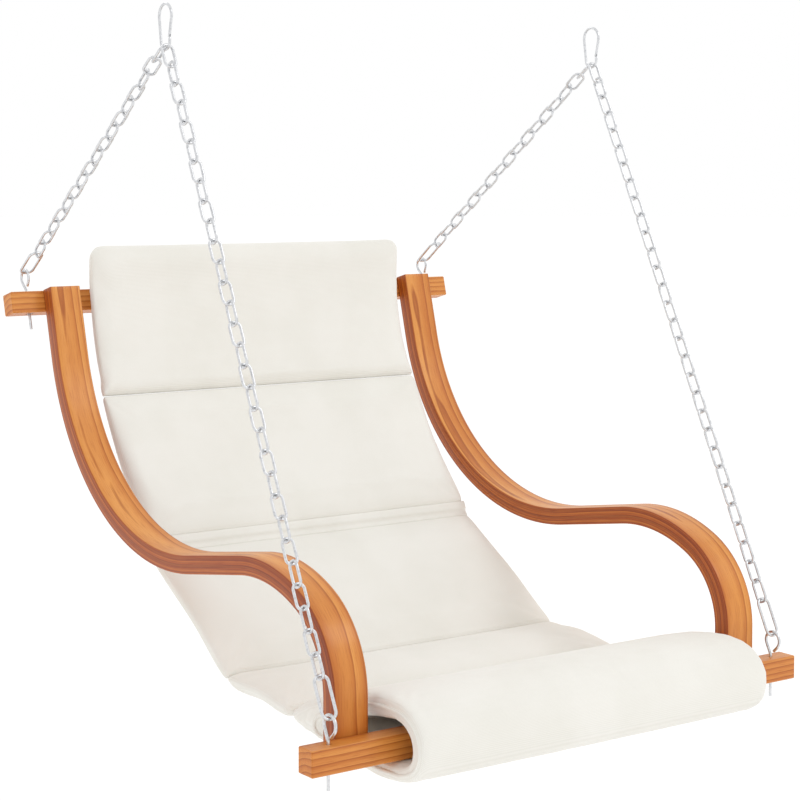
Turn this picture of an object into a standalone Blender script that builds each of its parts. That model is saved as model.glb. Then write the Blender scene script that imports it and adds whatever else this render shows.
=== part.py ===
"""Hanging swing chair: two timber crossbars, two bent laminated arms, a padded sling seat and four chains.

Metres, +Z up, the sitter faces -Y. The origin is midway between the two ceiling hooks, inside their crowns.
The seat is drawn first in its own frame, which has its origin at the middle of the front bar, and is then
hung: the lengths of the front and back chains say where the hooks are above it.
"""

import math

import bmesh
import bpy
import numpy as np
from mathutils import Matrix, Vector

# ---------------------------------------------------------------------------
# Driving dimensions
# ---------------------------------------------------------------------------

GAP = 0.0003  # air between pieces that touch
LINK_GAP = 0.0007  # air between links, hooks and eyes that turn on each other
TOP_LINK_GAP = 0.0018  # air between a top link, the hook and the next link, since it may hang turned

# Crossbars
BAR_LENGTH = 0.910
BAR_DEPTH = 0.033
BAR_HEIGHT = 0.036
BAR_EDGE = 0.0015

# Arms: one strip of even thickness; the radii and lengths are those of its upper face
ARM_WIDTH = 0.055
ARM_THICKNESS = 0.028
ARM_EDGE = 0.0022
ARM_FROM_BAR_END = 0.059
FOOT_RISE = 0.065  # from the middle of the front bar to where the front bend starts
FRONT_BEND_RADIUS = 0.150
FRONT_BEND_ANGLE = 62.0
CREST_RADIUS = 0.260
CREST_ANGLE = 37.0
REST_LENGTH = 0.1495  # straight stretch of the armrest
BACK_BEND_RADIUS = 0.366
BACK_LEAN = 14.5  # lean of the arm's top and of the back bar, from upright
TOP_LENGTH = 0.1156
ARM_PROUD = 0.001  # arm above the back bar's top face

# Arm joints: two bolts at each
BOLT_SPACING = 0.028
BOLT_RADIUS = 0.003
BOLT_HEAD_RADIUS = 0.006
BOLT_HEAD_HEIGHT = 0.0035
BOLT_RUN_OUT = 0.003  # thread past the insert's near face is this much short of its far end
INSERT_RADIUS = 0.005
INSERT_LENGTH = 0.012

# Eye bolts
EYE_WIRE = 0.0048
EYE_RADIUS = 0.0135  # of the loop's wire centre
EYE_HEIGHT = 0.0444  # loop centre above the middle of its bar
EYE_FROM_BAR_END = 0.037
FRONT_EYE_BEND = 0.004  # the front eyes are bent forward by this much
BACK_EYE_BEND = 0.0
FRONT_CONTACT = 10.0  # how far round its eye the long link bears, from the top towards the hook
BACK_CONTACT = 26.0
EYE_NECK = 0.0035  # loop's foot above the bar
SHANK_BELOW = 0.026
SHANK_CLEARANCE = 0.0005
WASHER_RADIUS = 0.0055
WASHER_THICKNESS = 0.001
NUT_ACROSS_FLATS = 0.008
NUT_HEIGHT = 0.004
NUT_POCKET_RADIUS = 0.0062
NUT_POCKET_DEPTH = 0.0056

# Chains: each link is a wire of even thickness; the pitch is from link to link
LINK_WIRE = 0.0043
LINK_WIDTH = 0.0225
LINK_PITCH = 0.03145
LINK_CORNER = 0.0064
LINKS_FRONT = 30
LINKS_BACK = 17
LINK_FUSE = 0.0003  # how far the links of one solid chain run into each other
TOP_LINK_SHARE = 0.78  # a top link's solid section, as a share of the other links'
TOP_LINK_SPREAD = 0.0026  # each chain's top link sits this far from the hook's middle
BACK_TURNS = (-30.0, 30.0, 16.0)  # extra turn of a back chain's first links: it has an odd number of them
LONG_WIRE = 0.0046
LONG_WIDTH = 0.0270
LONG_LENGTH = 0.0630
LONG_CORNER = 0.0080

# Snap hooks
HOOK_WIRE = 0.0042
HOOK_INNER_HEIGHT = 0.0631
HOOK_TOP_RADIUS = 0.0180
HOOK_FOOT_RADIUS = 0.0128
HOOK_PIVOT_HEIGHT = 0.0175  # gate pivot above the inside of the foot
HOOK_PIVOT_INSET = 0.0118  # gate pivot in front of the hook's middle
HOOK_NOSE_ANGLE = 12.0  # the crown ends this far past level
GATE_CLEARANCE = 0.0006
TONGUE_THICKNESS = 0.0014
SLOT_CLEARANCE = 0.0008
RIVET_RADIUS = 0.0008

# Sling cushion
CUSHION_WIDTH = 0.653
PAD_THICKNESS = 0.034
HEAD_THICKNESS = 0.028
PAD_END = 0.009  # thickness of a pad where it is sewn to the next
PAD_SHOULDER = 0.026  # how far in from an edge a pad is full
PAD_STEPS = 12
PAD_STEP_LENGTH = 0.006  # a short pad has fewer steps, none shorter than this
HEAD_CORNER = 0.024  # radius of the headrest's top corners
ROLL_SHOULDER = 0.012
SEAM_GAP = 0.0010
SLEEVE_WIDTH = 0.560
SLEEVE_CLOTH = 0.0020
SLEEVE_EASE = 0.0006
SLEEVE_TAIL = 0.030

WIRE_SIDES = 6


# ---------------------------------------------------------------------------
# Small tools
# ---------------------------------------------------------------------------

def clear_scene():
    for obj in list(bpy.data.objects):
        bpy.data.objects.remove(obj)


def make_material(name, colour, roughness, metallic=0.0):
    material = bpy.data.materials.new(name)
    material.use_nodes = True
    shader = material.node_tree.nodes["Principled BSDF"]
    shader.inputs["Base Color"].default_value = (*colour, 1.0)
    shader.inputs["Roughness"].default_value = roughness
    shader.inputs["Metallic"].default_value = metallic
    material.diffuse_color = (*colour, 1.0)
    return material


def add_empty(name, location, parent=None):
    empty = bpy.data.objects.new(name, None)
    empty.empty_display_size = 0.03
    bpy.context.scene.collection.objects.link(empty)
    empty.parent = parent
    start = parent["place"] if parent else (0.0, 0.0, 0.0)
    empty["place"] = tuple(location)
    empty.location = Vector(location) - Vector(start)
    return empty


def add_object(name, bm, material, body, location=(0, 0, 0), lean=0.0):
    """A mesh object at a world location, leaning back by an angle, carried by its body's empty."""
    bmesh.ops.recalc_face_normals(bm, faces=bm.faces)
    mesh = bpy.data.meshes.new(name)
    bm.to_mesh(mesh)
    bm.free()
    obj = bpy.data.objects.new(name, mesh)
    bpy.context.scene.collection.objects.link(obj)
    mesh.materials.append(material)
    obj.parent = body
    obj.location = Vector(location) - Vector(body["place"])
    obj.rotation_euler = (-lean, 0.0, 0.0)
    return obj


def add_cutter(name, bm, body, location=(0, 0, 0), lean=0.0):
    cutter = add_object(name, bm, MATERIALS["steel"], body, location, lean)
    cutter.hide_render = True
    cutter.display_type = "WIRE"
    return cutter


def boolean(obj, other, operation="DIFFERENCE"):
    modifier = obj.modifiers.new(other.name, "BOOLEAN")
    modifier.object = other
    modifier.operation = operation


def soften(obj, width, segments=1):
    modifier = obj.modifiers.new("edges", "BEVEL")
    modifier.width = width
    modifier.segments = segments
    modifier.limit_method = "ANGLE"
    modifier.angle_limit = math.radians(40)


def smooth(obj, angle=35):
    obj.data.shade_smooth()
    obj.data.set_sharp_from_angle(angle=math.radians(angle))


def turn(angle):
    """Unit vector in the (Y, Z) plane, leaning back from straight up by an angle in degrees."""
    return np.array([math.sin(math.radians(angle)), math.cos(math.radians(angle))])


def rings_to_mesh(rings, closed):
    """A solid through rings of points: a tube that closes on itself, or one with flat ends."""
    bm = bmesh.new()
    made = [[bm.verts.new(point) for point in ring] for ring in rings]
    pairs = list(zip(made, made[1:]))
    if closed:
        pairs.append((made[-1], made[0]))
    for one, two in pairs:
        for i in range(len(one)):
            j = (i + 1) % len(one)
            bm.faces.new((one[i], one[j], two[j], two[i]))
    if not closed:
        bm.faces.new(made[0])
        bm.faces.new(made[-1])
    return bm


def wire_rings(path, radius, sides, across, up, closed=True):
    """Rings round a flat path. A point (a, b) of the path lies at a * across + b * up."""
    across, up = Vector(across), Vector(up)
    side = across.cross(up)
    points = [np.array(p) for p in path]
    count = len(points)
    rings = []
    for i, point in enumerate(points):
        before = points[i - 1] if closed or i > 0 else point
        after = points[(i + 1) % count] if closed or i < count - 1 else point
        back = point - before
        ahead = after - point
        back = back / (np.linalg.norm(back) or 1.0)
        ahead = ahead / (np.linalg.norm(ahead) or 1.0)
        along = back + ahead
        along = along / np.linalg.norm(along)
        normal = np.array([-along[1], along[0]])
        miter = 1.0 if not (back.any() and ahead.any()) else 1.0 / max(0.5, float(along @ ahead))
        ring = []
        for k in range(sides):
            angle = 2 * math.pi * (k + 0.5) / sides
            flat = point + normal * radius * miter * math.cos(angle)
            ring.append(across * flat[0] + up * flat[1] + side * radius * math.sin(angle))
        rings.append(ring)
    return rings


def rounded_frame(half_width, half_length, corner, steps):
    """Outline of a link: a rectangle with rounded corners, longest along its second axis."""
    outline = []
    for quarter in range(4):
        sx = 1 if quarter in (0, 3) else -1
        sy = 1 if quarter in (0, 1) else -1
        for k in range(steps + 1):
            angle = math.radians(90 * quarter + 90 * k / steps)
            outline.append((
                sx * (half_width - corner) + corner * math.cos(angle),
                sy * (half_length - corner) + corner * math.sin(angle),
            ))
    return outline


def smooth_loop(points, steps, closed=True):
    """A smooth curve through a few hand-set points (Catmull-Rom)."""
    points = [np.array(p, float) for p in points]
    count = len(points)
    curve = []
    for i in range(count if closed else count - 1):
        if closed:
            a, b, c, d = (points[(i + k) % count] for k in (-1, 0, 1, 2))
        else:
            a, b, c, d = (points[min(max(i + k, 0), count - 1)] for k in (-1, 0, 1, 2))
        for k in range(steps):
            t = k / steps
            curve.append(0.5 * (2 * b + (c - a) * t + (2 * a - 5 * b + 4 * c - d) * t ** 2
                                + (3 * b - a - 3 * c + d) * t ** 3))
    if not closed:
        curve.append(points[-1])
    return curve


def hollow_slab(outer, inner, half_width):
    """A wall between two outlines with the same number of points, open from side to side."""
    bm = bmesh.new()
    ring = {}
    for side in (-1, 1):
        for name, outline in (("outer", outer), ("inner", inner)):
            ring[side, name] = [bm.verts.new((side * half_width, y, z)) for y, z in outline]
    count = len(outer)
    for i in range(count):
        j = (i + 1) % count
        for name in ("outer", "inner"):
            bm.faces.new((ring[-1, name][i], ring[-1, name][j], ring[1, name][j], ring[1, name][i]))
        for side in (-1, 1):
            bm.faces.new((ring[side, "outer"][i], ring[side, "outer"][j],
                          ring[side, "inner"][j], ring[side, "inner"][i]))
    return bm


def disc(radius, height, sides=16, hole=0.0):
    """A cylinder or ring on the Z axis, from 0 up to its height. Radii are to the flats' middles."""
    bm = bmesh.new()
    reach = 1 / math.cos(math.pi / sides)
    loops = []
    for r in (radius, hole) if hole else (radius,):
        for z in (0.0, height):
            loops.append([bm.verts.new((r * reach * math.cos(2 * math.pi * (k + 0.5) / sides),
                                        r * reach * math.sin(2 * math.pi * (k + 0.5) / sides), z))
                          for k in range(sides)])
    for k in range(sides):
        j = (k + 1) % sides
        bm.faces.new((loops[0][k], loops[0][j], loops[1][j], loops[1][k]))
        if hole:
            bm.faces.new((loops[2][k], loops[2][j], loops[3][j], loops[3][k]))
            bm.faces.new((loops[0][k], loops[0][j], loops[2][j], loops[2][k]))
            bm.faces.new((loops[1][k], loops[1][j], loops[3][j], loops[3][k]))
    if not hole:
        bm.faces.new(loops[0])
        bm.faces.new(loops[1])
    return bm


def point_along(bm, direction):
    """Turns a shape built on +Z so that it points along a direction of the (Y, Z) plane."""
    angle = math.atan2(-direction[0], direction[1])
    bmesh.ops.rotate(bm, verts=bm.verts, matrix=Matrix.Rotation(angle, 3, "X"))
    return bm


# ---------------------------------------------------------------------------
# The arm's side outline, in the seat's frame
# ---------------------------------------------------------------------------

def arm_upper_face():
    """Points (y, z) up the arm's front and upper face with the face's own lean at each, foot to top."""
    lean = 0.0
    place = np.array([BAR_DEPTH / 2 + GAP, -BAR_HEIGHT / 2])
    stations = [(place, lean)]

    def straight(length):
        nonlocal place
        place = place + turn(lean) * length
        stations.append((place, lean))

    def bend(radius, angle, steps):
        nonlocal place, lean
        sign = 1 if angle > 0 else -1
        to_centre = np.array([turn(lean)[1], -turn(lean)[0]]) * sign
        centre = place + to_centre * radius
        for _ in range(steps):
            lean += angle / steps
            place = centre - np.array([turn(lean)[1], -turn(lean)[0]]) * sign * radius
            stations.append((place, lean))

    straight(BAR_HEIGHT / 2 + FOOT_RISE)
    bend(FRONT_BEND_RADIUS, FRONT_BEND_ANGLE, 10)
    bend(CREST_RADIUS, CREST_ANGLE, 6)
    straight(REST_LENGTH)
    bend(BACK_BEND_RADIUS, BACK_LEAN - FRONT_BEND_ANGLE - CREST_ANGLE, 14)
    straight(TOP_LENGTH)
    return stations


ARM_FACE = arm_upper_face()
ARM_TOP = ARM_FACE[-1][0]
BACK_UP = turn(BACK_LEAN)  # up the back bar's own faces
BACK_REAR = np.array([BACK_UP[1], -BACK_UP[0]])  # out of its rear face

BACK_BAR = (ARM_TOP + BACK_REAR * (ARM_THICKNESS + GAP + BAR_DEPTH / 2)
            - BACK_UP * (BAR_HEIGHT / 2 + ARM_PROUD))
EYE_FRONT = np.array([-FRONT_EYE_BEND, EYE_HEIGHT])
EYE_BACK = BACK_BAR + BACK_UP * EYE_HEIGHT - BACK_REAR * BACK_EYE_BEND

HANG_X = BAR_LENGTH / 2 - EYE_FROM_BAR_END
ARM_X = BAR_LENGTH / 2 - ARM_FROM_BAR_END - ARM_WIDTH / 2


# ---------------------------------------------------------------------------
# Where the links of a chain sit, measured along it from the middle of its top link's upper end
# ---------------------------------------------------------------------------

LINK_HALF = LINK_WIRE / 2 * 0.87  # half the side of a link's square solid section
LONG_HALF = LONG_WIRE / 2 * 0.9
HOOK_R = HOOK_WIRE / 2
LINK_LENGTH = LINK_PITCH + 2 * LINK_HALF - LINK_FUSE  # between the wire centres of a link's ends
LONG_INNER = LONG_LENGTH - LONG_WIRE


def chain_places(links):
    """Centres of the links and of the long link, and the distance to the lower end of the long link."""
    centres = [LINK_LENGTH / 2]
    start = LINK_LENGTH - 2 * LINK_HALF - TOP_LINK_GAP
    for _ in range(links - 1):
        centres.append(start + LINK_LENGTH / 2)
        start += LINK_PITCH
    start += LINK_LENGTH - LINK_PITCH - LINK_HALF - LONG_HALF - LINK_GAP
    return centres, start + LONG_INNER / 2, start + LONG_INNER


def bearing(eye, lean, contact):
    """Where the lower end of a long link lies in its eye."""
    reach = EYE_RADIUS - EYE_WIRE / 2 - LINK_GAP - LONG_HALF
    return eye + turn(lean - contact) * reach


FRONT_CHAIN = chain_places(LINKS_FRONT)
BACK_CHAIN = chain_places(LINKS_BACK)
FRONT_END = bearing(EYE_FRONT, 0.0, FRONT_CONTACT)
BACK_END = bearing(EYE_BACK, BACK_LEAN, BACK_CONTACT)

# The hung frame: its origin is inside the hook's crown
FOOT_CENTRE = np.array([0.0, -HOOK_INNER_HEIGHT + HOOK_FOOT_RADIUS - HOOK_R])
FOOT_RISE_AT_LINK = HOOK_FOOT_RADIUS - HOOK_R - math.sqrt(
    (HOOK_FOOT_RADIUS - HOOK_R) ** 2 - TOP_LINK_SPREAD ** 2)
TOP_LINK_HEIGHT = -HOOK_INNER_HEIGHT + FOOT_RISE_AT_LINK + TOP_LINK_GAP + LINK_HALF
TOP_FRONT = np.array([-TOP_LINK_SPREAD, TOP_LINK_HEIGHT])
TOP_BACK = np.array([TOP_LINK_SPREAD, TOP_LINK_HEIGHT])


def seat_shift():
    """Moves the seat's frame under the hooks, so that both chains have their own length."""
    spread = np.array([TOP_LINK_SPREAD, 0.0])
    low, high = FRONT_END + spread, BACK_END - spread
    between = high - low
    span = np.linalg.norm(between)
    along = (FRONT_CHAIN[2] ** 2 - BACK_CHAIN[2] ** 2 + span ** 2) / (2 * span)
    rise = math.sqrt(FRONT_CHAIN[2] ** 2 - along ** 2)
    unit = between / span
    above = low + unit * along + np.array([-unit[1], unit[0]]) * rise
    return np.array([0.0, TOP_LINK_HEIGHT]) - above


SEAT_SHIFT = seat_shift()


def hung(point):
    return np.array(point) + SEAT_SHIFT


def world(x, point):
    return Vector((x, float(point[0]), float(point[1])))


def chain_direction(top, end):
    along = hung(end) - top
    return along / np.linalg.norm(along)


TO_FRONT = chain_direction(TOP_FRONT, FRONT_END)
TO_BACK = chain_direction(TOP_BACK, BACK_END)
SWING_POINT = np.array([0.0, TOP_LINK_HEIGHT])
FIRST_JOINT = LINK_LENGTH - LINK_HALF
SWAY_POINT = SWING_POINT + (TO_FRONT + TO_BACK) / 2 * FIRST_JOINT


# ---------------------------------------------------------------------------
# Pieces
# ---------------------------------------------------------------------------

def make_bar(name, centre, lean, seat, bolt_sides, bolt_reach):
    """A crossbar with its eye bolt holes, nut pockets and the holes of the arm bolts."""
    bm = bmesh.new()
    bmesh.ops.create_cube(bm, size=1.0)
    bmesh.ops.scale(bm, vec=(BAR_LENGTH, BAR_DEPTH, BAR_HEIGHT), verts=bm.verts)
    place = world(0, hung(centre))
    bar = add_object(name, bm, MATERIALS["teak"], seat, place, math.radians(lean))
    soften(bar, BAR_EDGE)
    up = turn(lean)
    for side, word in ((-1, "left"), (1, "right")):
        bm = disc(EYE_WIRE / 2 + SHANK_CLEARANCE, BAR_HEIGHT * 1.2, 8)
        low = hung(centre) - up * BAR_HEIGHT * 0.6
        boolean(bar, add_cutter(f"{name}_shank_hole_{word}", point_along(bm, up), seat,
                                world(side * HANG_X, low)))
        bm = disc(NUT_POCKET_RADIUS, NUT_POCKET_DEPTH * 2, 12)
        low = hung(centre) - up * (BAR_HEIGHT / 2 + NUT_POCKET_DEPTH)
        boolean(bar, add_cutter(f"{name}_nut_pocket_{word}", point_along(bm, up), seat,
                                world(side * HANG_X, low)))
        for row, offset in (("a", -BOLT_SPACING / 2), ("b", BOLT_SPACING / 2)):
            bolt_sides(bar, f"{name}_{word}_{row}", side * ARM_X + offset, bolt_reach, seat)
    return bar


def bolt_hole(obj, name, x, start, direction, radius, length, seat):
    bm = point_along(disc(radius, length, 10), direction)
    boolean(obj, add_cutter(name, bm, seat, world(x, start)))


def make_bolt(name, x, seat_of_head, direction, length, seat):
    """A socket-head bolt: the head sits on a face and the shank runs along a direction."""
    bm = bmesh.new()
    profile = [(BOLT_HEAD_RADIUS, -BOLT_HEAD_HEIGHT), (BOLT_HEAD_RADIUS, 0.0),
               (BOLT_RADIUS, 0.0), (BOLT_RADIUS, length)]
    sides = 10
    angles = [2 * math.pi * k / sides for k in range(sides)]
    rings = [[bm.verts.new((r * math.cos(a), r * math.sin(a), z)) for a in angles] for r, z in profile]
    for one, two in zip(rings, rings[1:]):
        for k in range(sides):
            j = (k + 1) % sides
            bm.faces.new((one[k], one[j], two[j], two[k]))
    bm.faces.new(rings[0])
    bm.faces.new(rings[-1])
    bolt = add_object(name, point_along(bm, direction), MATERIALS["steel"], seat, world(x, seat_of_head))
    smooth(bolt)
    return bolt


def make_insert(name, x, start, direction, seat):
    """A threaded insert let into the timber from a face."""
    bm = point_along(disc(INSERT_RADIUS, INSERT_LENGTH, 10, BOLT_RADIUS + GAP), direction)
    insert = add_object(name, bm, MATERIALS["steel"], seat, world(x, start))
    smooth(insert)
    return insert


def make_frame(seat):
    """Both bars, both arms and the bolts and inserts that join them."""
    forward = np.array([-1.0, 0.0])
    front_rear_face = np.array([BAR_DEPTH / 2, 0.0])
    arm_rear_at_foot = np.array([BAR_DEPTH / 2 + GAP + ARM_THICKNESS, 0.0])
    back_rear_face = BACK_BAR + BACK_REAR * BAR_DEPTH / 2
    arm_rear_at_top = BACK_BAR - BACK_REAR * (BAR_DEPTH / 2 + GAP)
    insert_hole = INSERT_LENGTH + BOLT_RUN_OUT

    def front_holes(bar, name, x, reach, body):
        start = hung(front_rear_face) - forward * GAP
        bolt_hole(bar, f"{name}_insert_hole", x, start, forward, INSERT_RADIUS + GAP, reach, body)

    def back_holes(bar, name, x, reach, body):
        start = hung(back_rear_face) + BACK_REAR * BAR_DEPTH * 0.1
        bolt_hole(bar, f"{name}_bolt_hole", x, start, -BACK_REAR, BOLT_RADIUS + GAP, reach, body)

    make_bar("front_bar", (0.0, 0.0), 0.0, seat, front_holes, insert_hole)
    make_bar("back_bar", BACK_BAR, BACK_LEAN, seat, back_holes, BAR_DEPTH * 1.2)

    for side, word in ((-1, "left"), (1, "right")):
        rings = []
        half = ARM_WIDTH / 2
        for place, lean in ARM_FACE:
            rear = np.array([turn(lean)[1], -turn(lean)[0]])
            front_point = hung(place)
            rear_point = front_point + rear * ARM_THICKNESS
            rings.append([world(x, p) for x, p in (
                (side * ARM_X - half, front_point), (side * ARM_X + half, front_point),
                (side * ARM_X + half, rear_point), (side * ARM_X - half, rear_point))])
        arm = add_object(f"arm_{word}", rings_to_mesh(rings, closed=False), MATERIALS["teak"], seat)
        soften(arm, ARM_EDGE)
        for row, offset in (("a", -BOLT_SPACING / 2), ("b", BOLT_SPACING / 2)):
            x = side * ARM_X + offset
            name = f"{word}_{row}"
            # front joint: the head bears on the arm's rear face, the insert sits in the front bar
            start = hung(arm_rear_at_foot) - forward * BOLT_HEAD_HEIGHT
            bolt_hole(arm, f"arm_front_hole_{name}", x, start, forward, BOLT_RADIUS + GAP,
                      ARM_THICKNESS * 1.5, seat)
            length = GAP * 2 + ARM_THICKNESS + INSERT_LENGTH
            head_seat = hung(arm_rear_at_foot) - forward * GAP
            make_bolt(f"front_arm_bolt_{name}", x, head_seat, forward, length, seat)
            make_insert(f"front_bar_insert_{name}", x, hung(front_rear_face), forward, seat)
            # back joint: the head bears on the bar's rear face, the insert sits in the arm
            start = hung(arm_rear_at_top) + BACK_REAR * GAP
            bolt_hole(arm, f"arm_insert_hole_{name}", x, start, -BACK_REAR, INSERT_RADIUS + GAP,
                      insert_hole, seat)
            length = BAR_DEPTH + GAP * 2 + INSERT_LENGTH
            make_bolt(f"back_arm_bolt_{name}", x, hung(back_rear_face) + BACK_REAR * GAP, -BACK_REAR,
                      length, seat)
            make_insert(f"arm_insert_{name}", x, hung(arm_rear_at_top), -BACK_REAR, seat)


def eye_path(bend):
    """Side view of an eye bolt from its bar's middle: up the shank, round the loop and back to its foot."""
    foot = BAR_HEIGHT / 2 + EYE_NECK
    rise = math.hypot(EYE_HEIGHT - foot, bend)
    lean = math.degrees(math.asin(bend / rise))
    reach = math.degrees(math.acos(EYE_RADIUS / rise))  # from the line down to where the sides touch the loop
    path = [(0.0, -BAR_HEIGHT / 2 - SHANK_BELOW), (0.0, foot - EYE_WIRE)]
    path.append((EYE_WIRE * 0.12, foot))
    turn_from = -90 + reach - lean
    steps = 15
    for k in range(steps + 1):
        angle = math.radians(turn_from + (360 - 2 * reach) * k / steps)
        path.append((EYE_RADIUS * math.cos(angle) - bend, EYE_HEIGHT + EYE_RADIUS * math.sin(angle)))
    last = np.array(path[-1])
    towards = np.array([0.0, foot]) - last
    length = np.linalg.norm(towards)
    path.append(tuple(last + towards / length * (length - EYE_WIRE * 1.9)))
    return path


def make_eye_bolts(seat):
    """The four wire eye bolts with the washer and nut that sit in the pocket under the bar."""
    for end, centre, lean, bend in (("front", np.zeros(2), 0.0, FRONT_EYE_BEND),
                                    ("back", BACK_BAR, BACK_LEAN, BACK_EYE_BEND)):
        up = turn(lean)
        for side, word in ((-1, "left"), (1, "right")):
            name = f"{end}_{word}"
            place = world(side * HANG_X, hung(centre))
            rings = wire_rings(eye_path(bend), EYE_WIRE / 2, WIRE_SIDES, (0, 1, 0), (0, 0, 1), closed=False)
            eye = add_object(f"eye_bolt_{name}", rings_to_mesh(rings, closed=False), MATERIALS["zinc"],
                             seat, place, math.radians(lean))
            smooth(eye)
            pocket_top = hung(centre) - up * (BAR_HEIGHT / 2 - NUT_POCKET_DEPTH)
            hole = EYE_WIRE / 2 + GAP
            bm = point_along(disc(WASHER_RADIUS, WASHER_THICKNESS, 12, hole), -up)
            washer = add_object(f"washer_{name}", bm, MATERIALS["zinc"], seat,
                                world(side * HANG_X, pocket_top - up * GAP))
            smooth(washer)
            under = pocket_top - up * (WASHER_THICKNESS + 2 * GAP)
            bm = point_along(disc(NUT_ACROSS_FLATS / 2, NUT_HEIGHT, 6, hole * 1.16), -up)
            add_object(f"nut_{name}", bm, MATERIALS["zinc"], seat, world(side * HANG_X, under))


def link_mesh(half_width, half_length, corner, half_section, steps, along, sideways):
    """A link's solid, square in section, with its long axis along a direction."""
    outline = rounded_frame(half_width, half_length, corner, steps)
    return wire_rings(outline, half_section * math.sqrt(2), 4, sideways, along)


def make_chain(name, side, top, direction, chain, turns, bodies):
    """One chain: its top link, the run of links fused into one solid, and the long link on the eye.

    Every second link lies flat to the front, and so do the long link and the top link. Where that doesn't
    work out, as in a chain with an odd number of links, its first links share the missing quarter turn.
    """
    along = world(0, direction)
    flat = Vector((1.0, 0.0, 0.0))
    upright = flat.cross(along)
    centres, long_centre, _ = chain
    origin = world(side * HANG_X, top)

    def rings_of(centre, index):
        sideways = flat if index == 0 or (len(centres) - index) % 2 == 0 else upright
        if index < len(turns):
            sideways = Matrix.Rotation(math.radians(turns[index]), 3, along) @ sideways
        section = LINK_HALF * TOP_LINK_SHARE if index == 0 else LINK_HALF
        rings = link_mesh(LINK_WIDTH / 2 - LINK_WIRE / 2, LINK_LENGTH / 2, LINK_CORNER, section, 1,
                          along, sideways)
        return [[point + along * centre for point in ring] for ring in rings]

    def group(places):
        whole = bmesh.new()
        for index in places:
            part = rings_to_mesh(rings_of(centres[index], index), closed=True)
            mesh = bpy.data.meshes.new("link")
            part.to_mesh(mesh)
            part.free()
            whole.from_mesh(mesh)
            bpy.data.meshes.remove(mesh)
        return whole

    add_object(f"top_link_{name}", group([0]), MATERIALS["zinc"], bodies["top_links"], origin)
    run = bodies["chains", side]
    links = group(range(1, len(centres), 2))
    chain_object = add_object(f"chain_{name}", links, MATERIALS["zinc"], run, origin)
    others = add_cutter(f"chain_{name}_other_links", group(range(2, len(centres), 2)), run, origin)
    boolean(chain_object, others, "UNION")
    rings = link_mesh((LONG_WIDTH - LONG_WIRE) / 2, LONG_INNER / 2, LONG_CORNER, LONG_HALF, 2, along, flat)
    rings = [[point + along * long_centre for point in ring] for ring in rings]
    add_object(f"long_link_{name}", rings_to_mesh(rings, closed=True), MATERIALS["zinc"], run, origin)


def hook_geometry():
    """A snap hook in its own plane, (y, z) from the inside of the crown: gate pivot and wire route."""
    crown = np.array([0.0, -HOOK_TOP_RADIUS + HOOK_R])
    foot = FOOT_CENTRE
    pivot = np.array([-HOOK_PIVOT_INSET, -HOOK_INNER_HEIGHT + HOOK_PIVOT_HEIGHT])
    nose_angle = 180 + HOOK_NOSE_ANGLE
    route = []
    # over the crown, from the nose at the front to the back
    for k in range(13):
        angle = math.radians(nose_angle - (nose_angle + 6) * k / 12)
        route.append(crown + HOOK_TOP_RADIUS * np.array([math.cos(angle), math.sin(angle)]))
    # round the foot, from the back to the front
    for k in range(9):
        angle = math.radians(-8 - 150 * k / 8)
        route.append(foot + HOOK_FOOT_RADIUS * np.array([math.cos(angle), math.sin(angle)]))
    return pivot, route


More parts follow.
